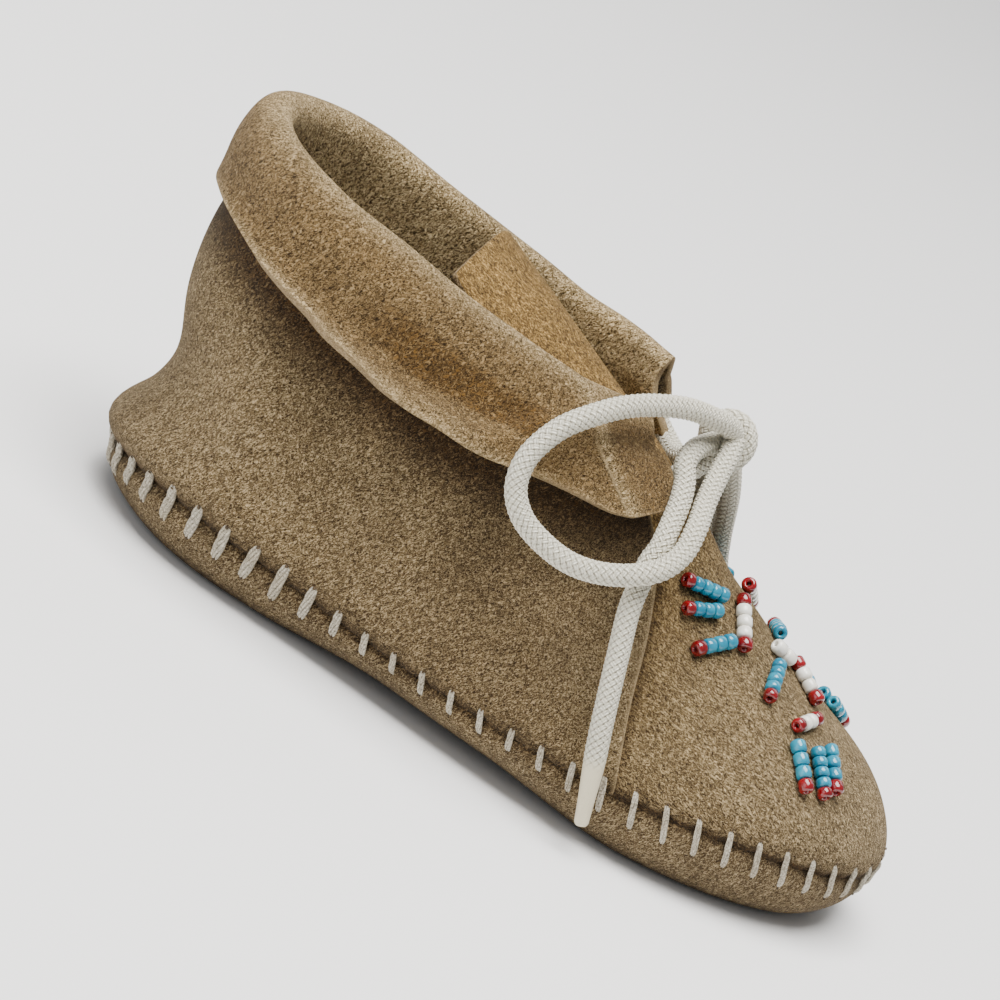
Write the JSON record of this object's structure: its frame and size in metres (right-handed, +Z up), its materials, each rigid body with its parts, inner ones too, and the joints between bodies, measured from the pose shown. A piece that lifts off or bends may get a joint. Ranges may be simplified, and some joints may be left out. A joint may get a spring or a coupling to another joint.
{
  "type": "baby moccasin",
  "caption": "Soft suede baby moccasin with a turned-up whipstitched sole, folded collar cuff, tongue, round lace tied in a bow and a beaded vamp.",
  "frame": {"origin": "on the floor under the middle of the shoe, its bow left out", "axes": "+X to the toe, +Y to the wearer's left, +Z up"},
  "size_m": [0.1322, 0.072, 0.0604],
  "materials": {
    "suede_upper": "napped suede, khaki tan",
    "suede_sole": "napped suede, khaki tan",
    "suede_inside": "rough flesh side, ochre",
    "lace_cord": "braided cotton cord, off-white",
    "thread": "waxed thread, off-white",
    "bead_turquoise": "opaque glass seed beads",
    "bead_white": "opaque glass seed beads",
    "bead_red": "opaque glass seed beads"
  },
  "bodies": {
    "root": {"sole": "suede_sole", "insole": "suede_inside", "upper": "suede_upper", "tongue": "suede_inside", "cuff": "suede_upper", "lace_run": "lace_cord", "lace_knot": "lace_cord", "lace_loop_right": "lace_cord", "lace_loop_left": "lace_cord", "lace_end_right": "lace_cord", "lace_end_left": "lace_cord", "beads_heel_right_1": "bead_turquoise", "beads_heel_right_2": "bead_turquoise", "beads_heel_right_3": "bead_turquoise", "beads_heel_left_1": "bead_turquoise", "beads_heel_left_2": "bead_turquoise", "beads_heel_left_3": "bead_turquoise", "beads_heel_arc_right": "bead_white", "beads_heel_arc_left": "bead_white", "beads_middle_right": "bead_turquoise", "beads_middle_left": "bead_turquoise", "beads_centre": "bead_white", "beads_toe_arc_right": "bead_white", "beads_toe_arc_left": "bead_white", "beads_toe_right_1": "bead_turquoise", "beads_toe_right_2": "bead_turquoise", "beads_toe_right_3": "bead_turquoise", "beads_toe_left_1": "bead_turquoise", "beads_toe_left_2": "bead_turquoise", "beads_toe_left_3": "bead_turquoise"}
  },
  "joints": []
}
